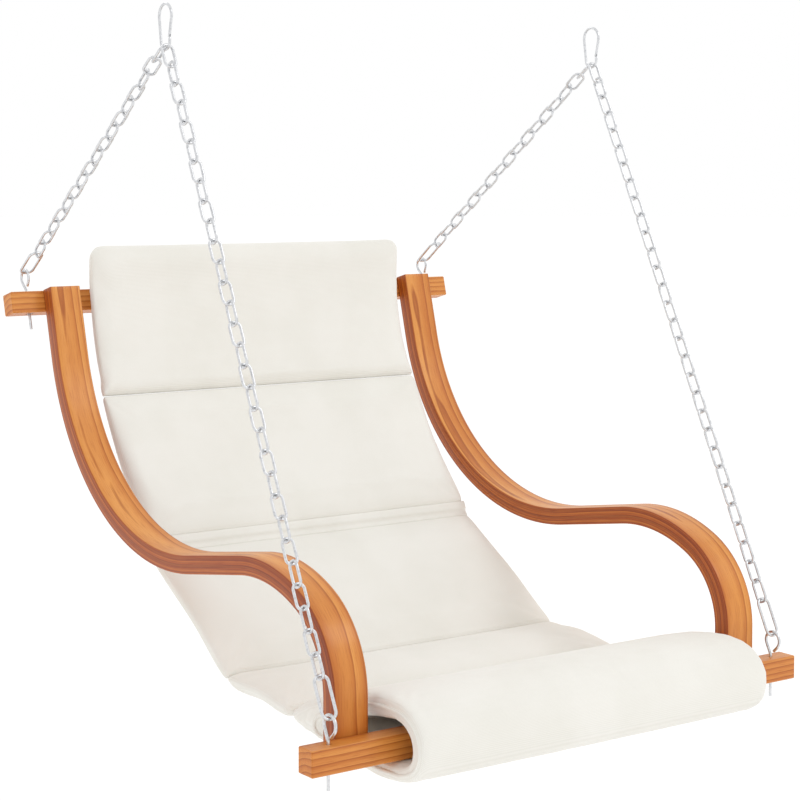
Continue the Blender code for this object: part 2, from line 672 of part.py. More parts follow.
def make_hooks(root, bodies):
    """The two snap hooks with their gates and rivets."""
    pivot, route = hook_geometry()
    tip = route[0]
    reach = np.linalg.norm(tip - pivot)
    gate_axis = (tip - pivot) / reach
    for side, word in ((-1, "left"), (1, "right")):
        place = Vector((side * HANG_X, 0.0, 0.0))
        # body wire: crown, back, foot and up to just under the pivot, where it is pressed flat
        wire_end = pivot - gate_axis * (HOOK_WIRE * 0.95)
        path = route + [wire_end]
        rings = wire_rings(path, HOOK_R, WIRE_SIDES, (0, 1, 0), (0, 0, 1), closed=False)
        # the last ring goes on as a flat tongue through the pivot
        tongue = []
        for step, width in ((-HOOK_WIRE * 0.75, 0.46), (0.0, 0.46), (HOOK_WIRE * 0.28, 0.30)):
            centre = pivot + gate_axis * step
            across = np.array([-gate_axis[1], gate_axis[0]]) * HOOK_WIRE * width
            tongue.append((centre, across))
        body_rings = rings
        for centre, across in tongue:
            ring = []
            for k in range(WIRE_SIDES):
                angle = 2 * math.pi * (k + 0.5) / WIRE_SIDES
                flat = centre + across * max(-1.0, min(1.0, 1.3 * math.cos(angle)))
                ring.append(Vector((TONGUE_THICKNESS / 2 * (1 if math.sin(angle) > 0 else -1) *
                                    min(1.0, 3 * abs(math.sin(angle))), flat[0], flat[1])))
            body_rings.append(ring)
        wire = rings_to_mesh(body_rings, closed=False)
        hook = add_object(f"hook_{word}", wire, MATERIALS["zinc"], root, place)
        smooth(hook)
        hole = disc(RIVET_RADIUS + GAP * 0.6, HOOK_WIRE * 2, 10)
        bmesh.ops.rotate(hole, verts=hole.verts, matrix=Matrix.Rotation(math.pi / 2, 3, "Y"))
        boolean(hook, add_cutter(f"hook_rivet_hole_{word}", hole, root,
                                 (side * HANG_X - HOOK_WIRE, float(pivot[0]), float(pivot[1]))))
        # gate: a round bar from below the pivot to the nose, slotted over the tongue
        gate_body = bodies["gate", side]
        start = -HOOK_WIRE * 0.42
        stop = reach - GATE_CLEARANCE
        length = stop - start
        bm = disc(HOOK_R * 0.95, length, 10)
        bmesh.ops.translate(bm, verts=bm.verts, vec=(0, 0, start))
        point_along(bm, gate_axis)
        pivot_place = world(side * HANG_X, pivot)
        gate = add_object(f"hook_gate_{word}", bm, MATERIALS["zinc"], gate_body, pivot_place)
        smooth(gate)
        slot = bmesh.new()
        bmesh.ops.create_cube(slot, size=1.0)
        width = TONGUE_THICKNESS + SLOT_CLEARANCE
        bmesh.ops.scale(slot, vec=(width, HOOK_WIRE * 1.5, HOOK_WIRE * 1.15), verts=slot.verts)
        point_along(slot, gate_axis)
        boolean(gate, add_cutter(f"gate_slot_{word}", slot, gate_body, pivot_place))
        hole = disc(RIVET_RADIUS + GAP * 0.6, HOOK_WIRE * 2, 10)
        bmesh.ops.rotate(hole, verts=hole.verts, matrix=Matrix.Rotation(math.pi / 2, 3, "Y"))
        boolean(gate, add_cutter(f"gate_rivet_hole_{word}", hole, gate_body,
                                 (side * HANG_X - HOOK_WIRE, float(pivot[0]), float(pivot[1]))))
        rivet = disc(RIVET_RADIUS, HOOK_WIRE * 0.9, 10)
        bmesh.ops.rotate(rivet, verts=rivet.verts, matrix=Matrix.Rotation(math.pi / 2, 3, "Y"))
        rivet_object = add_object(f"gate_rivet_{word}", rivet, MATERIALS["zinc"], gate_body,
                                  (side * HANG_X - HOOK_WIRE * 0.45, float(pivot[0]), float(pivot[1])))
        smooth(rivet_object)


# The middle of the sling's thickness in the seat's frame, from its top edge down and forward to the roll
SLING_LINE = (
    (0.843, 0.656), (0.8485, 0.573), (0.834, 0.480), (0.801, 0.398),
    (0.735, 0.283), (0.651, 0.180), (0.640, 0.157),
    (0.513, 0.076), (0.408, 0.006), (0.325, 0.001), (0.241, -0.010),
)
# Each pad: the two points of that line it runs between, and its thickness
PADS = (
    ("cushion_headrest", 0, 3, HEAD_THICKNESS),
    ("cushion_upper_back", 3, 5, PAD_THICKNESS),
    ("cushion_back_band", 5, 6, PAD_END),
    ("cushion_lower_back", 6, 8, PAD_THICKNESS),
    ("cushion_seat", 8, 10, PAD_THICKNESS),
)
# The roll: from the seam behind it over the top and the front to its lower edge, outside and inside
ROLL_OUTER = ((0.2390, -0.0060), (0.205, 0.013), (0.157, 0.031), (0.066, 0.058), (-0.010, 0.068),
              (-0.060, 0.058), (-0.087, 0.027), (-0.084, -0.014), (-0.055, -0.039), (0.000, -0.048),
              (0.060, -0.046), (0.150, -0.034), (0.205, -0.026), (0.2380, -0.0150))
ROLL_INNER = ((0.150, -0.008), (0.132, 0.004), (0.110, 0.012), (0.060, 0.027), (-0.010, 0.036),
              (-0.042, 0.030), (-0.056, 0.013), (-0.054, -0.008), (-0.038, -0.018), (0.000, -0.0225),
              (0.055, -0.0215), (0.105, -0.018), (0.138, -0.014), (0.149, -0.011))


def fullness(distance, reach, least):
    """Share of the full thickness at a distance in from an edge, rounded like a quarter circle."""
    inward = max(0.0, 1 - min(distance / reach, 1.0))
    return least + (1 - least) * math.sqrt(1 - inward ** 2)


def along_sling(start, end):
    """Closely spaced points of the sling's line between two of its points, with the line's normals."""
    steps = 60
    curve = np.array(smooth_loop(SLING_LINE, steps, closed=False))
    slopes = np.gradient(curve, axis=0)
    slopes /= np.linalg.norm(slopes, axis=1)[:, None]
    normals = np.column_stack([slopes[:, 1], -slopes[:, 0]])  # towards the sitter
    return curve[start * steps:end * steps + 1], normals[start * steps:end * steps + 1]


def pad_section(points, normals, thickness, from_start, from_end):
    """Side outline of a pad between two distances in from the ends of its stretch of the line."""
    lengths = np.concatenate([[0.0], np.cumsum(np.linalg.norm(np.diff(points, axis=0), axis=1))])
    whole = lengths[-1]
    stretch = whole - from_start - from_end
    reach = min(PAD_SHOULDER, stretch / 2)
    steps = min(PAD_STEPS, int(whole / PAD_STEP_LENGTH))
    upper, lower = [], []
    for k in range(steps + 1):
        distance = from_start + stretch * (0.5 - 0.5 * math.cos(math.pi * k / steps))
        place = np.array([np.interp(distance, lengths, points[:, i]) for i in (0, 1)])
        normal = np.array([np.interp(distance, lengths, normals[:, i]) for i in (0, 1)])
        nearest = min(distance - from_start, whole - from_end - distance)
        half = thickness / 2 * fullness(nearest, reach, min(1.0, PAD_END / thickness))
        upper.append(place + normal * half)
        lower.append(place - normal * half)
    return upper + lower[::-1]


def side_stations():
    """Distances in from the cushion's side where its rounded edge is drawn."""
    return [PAD_SHOULDER * share for share in (0.0, 0.12, 0.45, 1.0)]


def loft(sections, hollow=()):
    """A solid through side outlines [(x, outline), ...], with outlines of a hollow right through it."""
    bm = bmesh.new()
    made = [[bm.verts.new((x, *hung(p))) for p in outline] for x, outline in sections]
    bored = [[bm.verts.new((x, *hung(p))) for p in outline] for x, outline in hollow]
    count = len(made[0])
    for rows in (made, bored):
        for one, two in zip(rows, rows[1:]):
            for i in range(count):
                j = (i + 1) % count
                bm.faces.new((one[i], one[j], two[j], two[i]))
    for end in (0, -1):
        if bored:
            for i in range(count):
                j = (i + 1) % count
                bm.faces.new((made[end][i], made[end][j], bored[end][j], bored[end][i]))
        else:
            bm.faces.new(made[end])
    return bm


def make_cushion(seat):
    """The pads of the sling, the roll round the front bar and the sleeve on the back bar."""
    half = CUSHION_WIDTH / 2
    stations = [(-half + inset, inset) for inset in side_stations()]
    stations += [(-x, inset) for x, inset in reversed(stations)]

    for name, start, end, thickness in PADS:
        points, normals = along_sling(start, end)
        sections = []
        for x, inset in stations:
            here = max(PAD_END, thickness * fullness(inset, PAD_SHOULDER, PAD_END / thickness))
            from_top = SEAM_GAP / 2
            if start == 0:
                from_top = HEAD_CORNER - math.sqrt(HEAD_CORNER ** 2 - max(0.0, HEAD_CORNER - inset) ** 2)
            sections.append((x, pad_section(points, normals, here, from_top, SEAM_GAP / 2)))
        smooth(add_object(name, loft(sections), MATERIALS["cream"], seat), 50)

    outer = np.array(smooth_loop(ROLL_OUTER, 2, closed=False))
    inner = np.array(smooth_loop(ROLL_INNER, 2, closed=False))
    middle = (outer + inner) / 2
    outside, inside = [], []
    for x, inset in stations:
        share = fullness(inset, ROLL_SHOULDER, 0.45)
        outside.append((x, middle + (outer - middle) * share))
        inside.append((x, middle + (inner - middle) * share))
    smooth(add_object("cushion_front_roll", loft(outside, inside), MATERIALS["cream"], seat), 50)

    # sleeve: cloth wrapped round the back bar, its tail lying against the back of the headrest
    reach_y = BAR_DEPTH / 2 + SLEEVE_EASE
    reach_z = BAR_HEIGHT / 2 + SLEEVE_EASE
    inner = [(-reach_y, -reach_z), (reach_y, -reach_z), (reach_y, reach_z), (-reach_y, reach_z)]
    outer = [(y + math.copysign(SLEEVE_CLOTH, y), z + math.copysign(SLEEVE_CLOTH, z)) for y, z in inner]
    place = world(0, hung(BACK_BAR))
    sleeve = add_object("back_sleeve", hollow_slab(outer, inner, SLEEVE_WIDTH / 2), MATERIALS["cream"],
                        seat, place, math.radians(BACK_LEAN))
    tail = bmesh.new()
    bmesh.ops.create_cube(tail, size=1.0)
    bmesh.ops.scale(tail, vec=(SLEEVE_WIDTH, SLEEVE_CLOTH, SLEEVE_TAIL), verts=tail.verts)
    bmesh.ops.translate(tail, verts=tail.verts,
                        vec=(0, -reach_y - SLEEVE_CLOTH / 2, -reach_z - SLEEVE_TAIL / 2 + SLEEVE_CLOTH))
    boolean(sleeve, add_cutter("back_sleeve_tail", tail, seat, place, math.radians(BACK_LEAN)), "UNION")


# ---------------------------------------------------------------------------
# Assembly
# ---------------------------------------------------------------------------

def main():
    root = add_empty("hooks_body", (0, 0, 0))
    bodies = {"top_links": add_empty("swing_axis", world(0, SWING_POINT), root)}
    for side, word in ((-1, "left"), (1, "right")):
        bodies["chains", side] = add_empty(f"sway_axis_{word}", world(side * HANG_X, SWAY_POINT),
                                           bodies["top_links"])
        bodies["gate", side] = add_empty(f"gate_axis_{word}", world(side * HANG_X, hook_geometry()[0]), root)
    seat = add_empty("seat_axis", world(-HANG_X, hung(EYE_FRONT)), bodies["chains", -1])
    make_frame(seat)
    make_eye_bolts(seat)
    make_cushion(seat)
    for side, word in ((-1, "left"), (1, "right")):
        make_chain(f"front_{word}", side, TOP_FRONT, TO_FRONT, FRONT_CHAIN, (), bodies)
        make_chain(f"back_{word}", side, TOP_BACK, TO_BACK, BACK_CHAIN, BACK_TURNS, bodies)
    make_hooks(root, bodies)


clear_scene()
MATERIALS = {
    "teak": make_material("varnished_timber", (0.58, 0.27, 0.075), 0.38),
    "cream": make_material("cream_cloth", (0.86, 0.84, 0.78), 0.9),
    "zinc": make_material("zinc_plated_steel", (0.72, 0.72, 0.72), 0.32, 1.0),
    "steel": make_material("fastener_steel", (0.60, 0.60, 0.61), 0.35, 1.0),
}
main()
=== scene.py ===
# %% [markdown]
# A porch swing chair: two varnished crossbars, two bent laminated arms, a padded sling seat and four
# chains on two snap hooks. The design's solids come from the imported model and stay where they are. This
# script gives them their finish, and makes the soft and the finely shaped pieces around them.

# %% Load the fixed frame
import math

import bpy
import numpy as np
from mathutils import Matrix, Vector


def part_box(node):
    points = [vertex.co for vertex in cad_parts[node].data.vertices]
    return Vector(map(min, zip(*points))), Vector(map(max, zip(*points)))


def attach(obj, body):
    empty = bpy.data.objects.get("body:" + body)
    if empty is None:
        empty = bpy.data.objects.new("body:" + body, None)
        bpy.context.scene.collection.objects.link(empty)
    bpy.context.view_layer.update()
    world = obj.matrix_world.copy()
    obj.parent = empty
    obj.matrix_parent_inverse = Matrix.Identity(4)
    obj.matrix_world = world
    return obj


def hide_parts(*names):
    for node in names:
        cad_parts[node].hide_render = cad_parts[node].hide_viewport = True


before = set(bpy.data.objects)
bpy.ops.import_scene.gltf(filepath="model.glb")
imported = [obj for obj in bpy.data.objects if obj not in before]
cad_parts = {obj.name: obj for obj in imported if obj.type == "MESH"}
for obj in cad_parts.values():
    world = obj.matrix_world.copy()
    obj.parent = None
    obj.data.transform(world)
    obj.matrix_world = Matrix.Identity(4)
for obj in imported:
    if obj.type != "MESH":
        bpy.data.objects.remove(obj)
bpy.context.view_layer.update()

# %% [markdown]
# Every operator works on whatever is selected, so one helper makes the selection plain before each step.
# Another reads the middle of a design node, since each new piece takes its place from the design.


# %% Selecting pieces and reading the design
def pick(*objects):
    """Makes these the only selected objects, with the last one active."""
    if bpy.context.mode != "OBJECT":
        bpy.ops.object.mode_set(mode="OBJECT")
    bpy.ops.object.select_all(action="DESELECT")
    for obj in objects:
        obj.select_set(True)
    bpy.context.view_layer.objects.active = objects[-1]


def middle(node):
    low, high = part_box(node)
    return (Vector(low) + Vector(high)) / 2


SIDES = ((-1, "left"), (1, "right"))
FRONT_BAR = middle("front_bar")
BACK_BAR = middle("back_bar")
BAR_HALF_DEPTH = 0.0165
BAR_HALF_HEIGHT = 0.018
HANG_X = middle("hook_right").x
ARM_X = middle("arm_right").x
print("hooks are", round(2 * HANG_X, 4), "m apart, arms", round(2 * ARM_X, 4))

# %% [markdown]
# The camera stands three metres in front of the chair, well to the sitter's right and a little above the
# backrest, and looks in with a long lens, so that the chair keeps its proportions. Lens shift brings the
# chair to the middle while the camera stays nearly level, which keeps upright lines upright.

# %% Camera
CAMERA_PLACE = (-1.8556, -2.5080, -0.2573)
YAW, PITCH, ROLL = 34.32, 2.92, 0.06  # degrees: to the right, down and about its own axis
camera = bpy.data.objects.new("camera", bpy.data.cameras.new("camera"))
bpy.context.scene.collection.objects.link(camera)
camera.location = CAMERA_PLACE
camera.data.lens = 87.88
camera.data.sensor_width = 36.0
camera.data.shift_x = 0.10
camera.data.shift_y = -0.15
camera.data.clip_end = 200.0
camera.rotation_euler = (math.radians(90 - PITCH), math.radians(ROLL), math.radians(-YAW))
bpy.context.scene.camera = camera
print("camera stands", round(Vector(CAMERA_PLACE).xy.length, 2), "m out from the hang line")

# %% [markdown]
# A white studio: an even white surround gives most of the light. One soft lamp high in front, on the
# sitter's left, gives shape, and a weaker one behind picks out the edges. The floor is pale and lies well
# under the seat, where the sitter's feet would be.

# %% Floor and light
FLOOR_BELOW_SEAT = 0.42
FLOOR_RADIUS = 60
bpy.ops.mesh.primitive_circle_add(vertices=96, radius=FLOOR_RADIUS, fill_type="NGON",
                                  location=(0, 0, FRONT_BAR.z - FLOOR_BELOW_SEAT))
floor = bpy.context.object
floor.name = "floor"

world = bpy.data.worlds.new("studio")
bpy.context.scene.world = world
world.use_nodes = True
surround = world.node_tree.nodes["Background"]
surround.inputs["Color"].default_value = (1.0, 1.0, 1.0, 1.0)
surround.inputs["Strength"].default_value = 1.0
bpy.context.scene.view_settings.view_transform = "Standard"


def softbox(name, location, size, watts):
    """A square soft lamp, turned towards the middle of what hangs there."""
    lamp = bpy.data.lights.new(name, "AREA")
    lamp.size = size
    lamp.energy = watts
    obj = bpy.data.objects.new(name, lamp)
    bpy.context.scene.collection.objects.link(obj)
    obj.location = location
    towards = Vector((0, 0, FRONT_BAR.z / 2)) - Vector(location)
    obj.rotation_euler = towards.to_track_quat("-Z", "Y").to_euler()


softbox("key_light", (2.4, -2.8, 2.4), 1.4, 30)
softbox("back_light", (-1.0, 3.0, 2.6), 1.6, 12)

# %% [markdown]
# Materials are node networks. Two helpers keep them readable: one turns the sRGB colour that a person
# reads off a sample into the linear values that the shader wants, and one adds a node with its settings
# and links.


# %% Colour and node helpers
def linear(hex_colour):
    channels = [int(hex_colour[i:i + 2], 16) / 255 for i in (1, 3, 5)]
    return (*[c / 12.92 if c <= 0.04045 else ((c + 0.055) / 1.055) ** 2.4 for c in channels], 1.0)


def add_node(tree, kind, inputs=None, **settings):
    """One node. An input given as a socket is linked, and anything else is set as its value."""
    node = tree.nodes.new(kind)
    for name, value in settings.items():
        setattr(node, name, value)
    for name, value in (inputs or {}).items():
        if isinstance(value, bpy.types.NodeSocket):
            tree.links.new(value, node.inputs[name])
        else:
            node.inputs[name].default_value = value
    return node


def new_material(name):
    material = bpy.data.materials.new(name)
    material.use_nodes = True
    return material, material.node_tree, material.node_tree.nodes["Principled BSDF"]


def ramp(tree, factor, stops):
    """A colour ramp through (position, hex colour) stops."""
    node = add_node(tree, "ShaderNodeValToRGB", {"Fac": factor})
    elements = node.color_ramp.elements
    while len(elements) < len(stops):
        elements.new(0.5)
    for element, (position, colour) in zip(elements, stops):
        element.position = position
        element.color = linear(colour)
    return node.outputs["Color"]


def bump(tree, shader, height, distance, strength):
    node = add_node(tree, "ShaderNodeBump", {"Height": height, "Distance": distance, "Strength": strength})
    tree.links.new(node.outputs["Normal"], shader.inputs["Normal"])


FULL_WAVE = 2 * math.pi / 20  # a Wave texture of scale 1 repeats after this many metres


def wave_scale(millimetres):
    return FULL_WAVE / (millimetres / 1000)


print("a 5 mm wave needs scale", round(wave_scale(5), 1))

# %% [markdown]
# The timber is a fine-grained hardwood under satin varnish. What the eye gets: an orange-brown ground,
# growth lines every 6 to 9 mm that run along the piece and wander a little, short dark pores, and a
# thin clear coat with a soft shine. The grain follows the bend of an arm, so an arm's pattern reads the
# strip's own coordinates, which are stored before the strip is bent. A bar is straight, so it reads
# Object coordinates, turned to the bar.


# %% Varnished timber
def timber(name, place, growth_mm, seed, laminated_with_side_shade=False):
    """place(tree) gives coordinates in metres: X along the grain, Y across the width, Z through."""
    material, tree, shader = new_material(name)
    coordinates = place(tree)
    drawn = add_node(tree, "ShaderNodeMapping", {
        "Vector": coordinates, "Location": (seed, 0.011, 0.055), "Scale": (0.10, 1.0, 1.0)})
    growth = add_node(tree, "ShaderNodeTexWave", {
        "Vector": drawn.outputs["Vector"], "Scale": wave_scale(growth_mm), "Distortion": 5.5,
        "Detail": 2.5, "Detail Scale": 0.55, "Detail Roughness": 0.45},
        wave_type="RINGS", rings_direction="X", wave_profile="SAW")
    ground = ramp(tree, growth.outputs["Fac"], [
        (0.0, "#E19A4C"), (0.45, "#DB9142"), (0.80, "#CB7C31"), (0.94, "#AF6220"), (1.0, "#DE9443")])
    stretched = add_node(tree, "ShaderNodeMapping", {
        "Vector": coordinates, "Location": (seed, 0.0, 0.0), "Scale": (0.035, 1.0, 1.0)})
    pores = add_node(tree, "ShaderNodeTexNoise", {
        "Vector": stretched.outputs["Vector"], "Scale": 900.0, "Detail": 3.0, "Roughness": 0.6})
    pore_tone = ramp(tree, pores.outputs["Fac"], [(0.30, "#C99A68"), (0.48, "#F6F1EA"), (0.72, "#FFFFFF")])
    fibre = add_node(tree, "ShaderNodeMix", {"Factor": 0.55, "A": ground, "B": pore_tone},
                     data_type="RGBA", blend_type="MULTIPLY")
    patches = add_node(tree, "ShaderNodeTexNoise", {
        "Vector": drawn.outputs["Vector"], "Scale": 22.0, "Detail": 2.0})
    patch_tone = ramp(tree, patches.outputs["Fac"], [(0.32, "#E2C49C"), (0.60, "#FFFFFF")])
    colour = add_node(tree, "ShaderNodeMix", {
        "Factor": 0.75, "A": fibre.outputs["Result"], "B": patch_tone},
        data_type="RGBA", blend_type="MULTIPLY").outputs["Result"]
    # arms only: glue lines on the sides, plus a darkening of the sides that is partly painted shade
    if laminated_with_side_shade:
        colour = lamination_and_side_shade(tree, coordinates, colour)
    tree.links.new(colour, shader.inputs["Base Color"])
    sheen = add_node(tree, "ShaderNodeMapRange", {
        "Value": pores.outputs["Fac"], "To Min": 0.52, "To Max": 0.38})
    tree.links.new(sheen.outputs["Result"], shader.inputs["Roughness"])
    shader.inputs["Specular IOR Level"].default_value = 0.35
    shader.inputs["Coat Weight"].default_value = 0.18
    shader.inputs["Coat Roughness"].default_value = 0.22
    bump(tree, shader, pores.outputs["Fac"], 0.0002, 0.5)
    return material


LAYER_MM = 3.5  # an arm is eight layers of veneer
ARM_HALF_WIDTH = 0.0275
SIDE_BLEND = (ARM_HALF_WIDTH - 0.0016, ARM_HALF_WIDTH - 0.0002)  # where a face's colour turns to a side's


def lamination_and_side_shade(tree, coordinates, colour):
    """The sides of an arm show its glued layers, each of its own tone, and are painted darker than its
    faces: the glue lines and layer tones are the wood's own, and the darkening is partly painted shade.
    """
    parts = add_node(tree, "ShaderNodeSeparateXYZ", {"Vector": coordinates})
    layer = add_node(tree, "ShaderNodeMath", {0: parts.outputs["Z"], 1: 1000 / LAYER_MM},
                     operation="MULTIPLY")
    number = add_node(tree, "ShaderNodeMath", {0: layer.outputs[0]}, operation="FLOOR")
    within = add_node(tree, "ShaderNodeMath", {0: layer.outputs[0]}, operation="FRACT")
    tone = add_node(tree, "ShaderNodeTexWhiteNoise", {"W": number.outputs[0]}, noise_dimensions="1D")
    # partly painted shade: these layer tones sit well under white, so besides varying from layer to layer
    # they darken the whole side of an arm
    layer_tone_and_side_shade = ramp(tree, tone.outputs["Value"], [(0.0, "#B5865A"), (0.5, "#C9976A"), (1.0, "#DDB68C")])
    glue = ramp(tree, within.outputs[0], [
        (0.0, "#8A5A3C"), (0.10, "#FFFFFF"), (0.92, "#FFFFFF"), (1.0, "#8A5A3C")])
    lines = add_node(tree, "ShaderNodeMix", {"Factor": 0.8, "A": layer_tone_and_side_shade, "B": glue},
                     data_type="RGBA", blend_type="MULTIPLY")
    side = add_node(tree, "ShaderNodeMix", {"Factor": 0.95, "A": colour, "B": lines.outputs["Result"]},
                    data_type="RGBA", blend_type="MULTIPLY")
    out = add_node(tree, "ShaderNodeMath", {0: parts.outputs["Y"]}, operation="ABSOLUTE")
    on_side = add_node(tree, "ShaderNodeMapRange", {
        "Value": out.outputs[0], "From Min": SIDE_BLEND[0], "From Max": SIDE_BLEND[1]})
    return add_node(tree, "ShaderNodeMix", {
        "Factor": on_side.outputs["Result"], "A": colour, "B": side.outputs["Result"]},
        data_type="RGBA").outputs["Result"]


def along_strip(tree):
    """The place a point had in the straight strip, before it was bent."""
    return add_node(tree, "ShaderNodeAttribute", attribute_name="grain").outputs["Vector"]


BACK_LEAN = 14.5


def along_bar(centre, lean):
    """Object coordinates, moved to the bar's middle and turned to its faces."""
    def place(tree):
        source = add_node(tree, "ShaderNodeTexCoord").outputs["Object"]
        return add_node(tree, "ShaderNodeMapping", {
            "Vector": source, "Location": tuple(centre), "Rotation": (math.radians(-lean), 0.0, 0.0)},
            vector_type="TEXTURE").outputs["Vector"]
    return place


front_bar_timber = timber("varnished_timber_front_bar", along_bar(FRONT_BAR, 0.0), 9.0, 0.3)
back_bar_timber = timber("varnished_timber_back_bar", along_bar(BACK_BAR, BACK_LEAN), 9.0, 1.9)
arm_timber = {word: timber(f"varnished_laminate_arm_{word}", along_strip, 6.0, 0.8 + side, True)
              for side, word in SIDES}
print("timber materials:", 2 + len(arm_timber))

# %% [markdown]
# The cover is a cream polyester canvas, plain woven, matt with a faint sheen at grazing angles. The
# threads of such a cloth are about 0.5 mm apart, too fine to show from here, so they are drawn 1.6 mm
# apart. Warp threads run down the sling and weft threads across it. Y and Z both fall on the way down,
# so one set of slanted bands serves the back and the seat alike.


# %% Cream canvas
THREAD_MM = 1.6


def canvas(name, colour="#EEECE6", shade="#EAE8E1"):
    material, tree, shader = new_material(name)
    place = add_node(tree, "ShaderNodeTexCoord").outputs["Object"]
    slanted = add_node(tree, "ShaderNodeMapping", {
        "Vector": place, "Rotation": (math.radians(-45), 0.0, 0.0)}).outputs["Vector"]
    thread = {"Vector": slanted, "Scale": wave_scale(THREAD_MM), "Distortion": 0.6, "Detail Scale": 3.0}
    warp = add_node(tree, "ShaderNodeTexWave", thread, bands_direction="X")
    weft = add_node(tree, "ShaderNodeTexWave", thread, bands_direction="Y")
    weave = add_node(tree, "ShaderNodeMath", {0: warp.outputs["Fac"], 1: weft.outputs["Fac"]},
                     operation="MULTIPLY")
    soft = add_node(tree, "ShaderNodeTexNoise", {"Vector": place, "Scale": 9.0, "Detail": 3.0})
    ground = ramp(tree, soft.outputs["Fac"], [(0.35, shade), (0.62, colour)])
    thread_tone = ramp(tree, weave.outputs[0], [(0.0, "#F0EFEC"), (0.6, "#FFFFFF")])
    mixed = add_node(tree, "ShaderNodeMix", {"Factor": 0.6, "A": ground, "B": thread_tone},
                     data_type="RGBA", blend_type="MULTIPLY")
    tree.links.new(mixed.outputs["Result"], shader.inputs["Base Color"])
    shader.inputs["Roughness"].default_value = 0.88
    shader.inputs["Sheen Weight"].default_value = 0.15
    shader.inputs["Sheen Roughness"].default_value = 0.5
    wrinkle = add_node(tree, "ShaderNodeTexNoise", {"Vector": place, "Scale": 14.0, "Detail": 1.0})
    relief = add_node(tree, "ShaderNodeMath", {0: wrinkle.outputs["Fac"], 1: 6.0, 2: weave.outputs[0]},
                      operation="MULTIPLY_ADD")
    bump(tree, shader, relief.outputs[0], 0.00022, 0.55)
    return material


cover = canvas("cream_canvas")
print("canvas threads", THREAD_MM, "mm apart, wave scale", round(wave_scale(THREAD_MM), 1))

# %% [markdown]
# Chains, hooks, eyes, nuts and washers are bright zinc-plated steel: pale, slightly blue-grey, with
# crystals a few millimetres wide that each catch the light a little differently. The bolts and inserts
# are plain steel, a little darker and finer.


# %% Plated steel
def plated_steel(name, light, dark, roughness, grain_mm):
    material, tree, shader = new_material(name)
    place = add_node(tree, "ShaderNodeTexCoord").outputs["Object"]
    crystals = add_node(tree, "ShaderNodeTexVoronoi", {"Vector": place, "Scale": 1000 / grain_mm})
    cloud = add_node(tree, "ShaderNodeTexNoise", {"Vector": place, "Scale": 160.0, "Detail": 4.0})
    mixed = add_node(tree, "ShaderNodeMath", {
        0: crystals.outputs["Distance"], 1: 0.5, 2: cloud.outputs["Fac"]}, operation="MULTIPLY_ADD")
    tree.links.new(ramp(tree, mixed.outputs[0], [(0.30, dark), (0.80, light)]), shader.inputs["Base Color"])
    shader.inputs["Metallic"].default_value = 1.0
    gloss = add_node(tree, "ShaderNodeMapRange", {
        "Value": cloud.outputs["Fac"], "To Min": roughness - 0.07, "To Max": roughness + 0.09})
    tree.links.new(gloss.outputs["Result"], shader.inputs["Roughness"])
    bump(tree, shader, cloud.outputs["Fac"], 0.00008, 0.6)
    return material


zinc = plated_steel("bright_zinc_plate", "#DADBDD", "#B2B4B8", 0.30, 3.0)
bolt_steel = plated_steel("plain_bolt_steel", "#BDBEC0", "#95979A", 0.36, 1.5)
print("metals:", zinc.name, bolt_steel.name)

# %% [markdown]
# The floor is a matt sheet of nearly white paper with a very faint cloudiness. It glows a little, so that
# it comes out as bright as the surround and no horizon shows.

# %% Floor finish
floor_material, floor_tree, floor_shader = new_material("pale_backdrop_paper")
paper_place = add_node(floor_tree, "ShaderNodeTexCoord").outputs["Object"]
paper_noise = add_node(floor_tree, "ShaderNodeTexNoise", {"Vector": paper_place, "Scale": 0.6})
floor_tree.links.new(ramp(floor_tree, paper_noise.outputs["Fac"], [(0.3, "#FCFCFB"), (0.7, "#FEFEFE")]),
                     floor_shader.inputs["Base Color"])
floor_shader.inputs["Roughness"].default_value = 1.0
floor_shader.inputs["Specular IOR Level"].default_value = 0.0
floor_shader.inputs["Emission Color"].default_value = (1.0, 1.0, 1.0, 1.0)
floor_shader.inputs["Emission Strength"].default_value = 0.06
floor.data.materials.append(floor_material)


# %% Finish of the pieces that stay as designed
def finish_node(name, material):
    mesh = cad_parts[name].data
    mesh.materials.clear()
    mesh.materials.append(material)


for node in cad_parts:
    if "insert" in node or "arm_bolt" in node:
        finish_node(node, bolt_steel)
    elif "bar" in node or "arm" in node:
        finish_node(node, back_bar_timber if node == "back_bar" else front_bar_timber)
    elif "cushion" in node or "sleeve" in node:
        finish_node(node, cover)
    else:
        finish_node(node, zinc)
print("finished", len(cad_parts), "design nodes")

# %% [markdown]
# Arms, links, eyes and the cloth on the back bar are all the same idea: something straight that follows
# a route of straight runs and round bends. A route is a list of moves, each a (radius, amount): with no
# radius the amount is a length, otherwise it is an angle in degrees, positive towards +Y for something
# that heads up. One function says where a point at some distance along the route is, and where the route
# heads there.


# %% Following a route
def follow(start, heading, moves, distance):
    """Place (y, z) and heading, in degrees from +Z towards +Y, at a distance along a route."""
    place = Vector(start)
    for radius, amount in moves:
        length = amount if radius is None else radius * math.radians(abs(amount))
        step = min(distance, length)
        side = Vector((math.cos(math.radians(heading)), -math.sin(math.radians(heading))))
        if radius is None:
            place = place + Vector((-side.y, side.x)) * step
        else:
            sign = math.copysign(1.0, amount)
            centre = place + side * radius * sign
            heading += sign * math.degrees(step / radius)
            side = Vector((math.cos(math.radians(heading)), -math.sin(math.radians(heading))))
            place = centre - side * radius * sign
        distance -= step
        if distance <= 0:
            break
    return place, heading


def route_length(moves):
    return sum(amount if radius is None else radius * math.radians(abs(amount)) for radius, amount in moves)


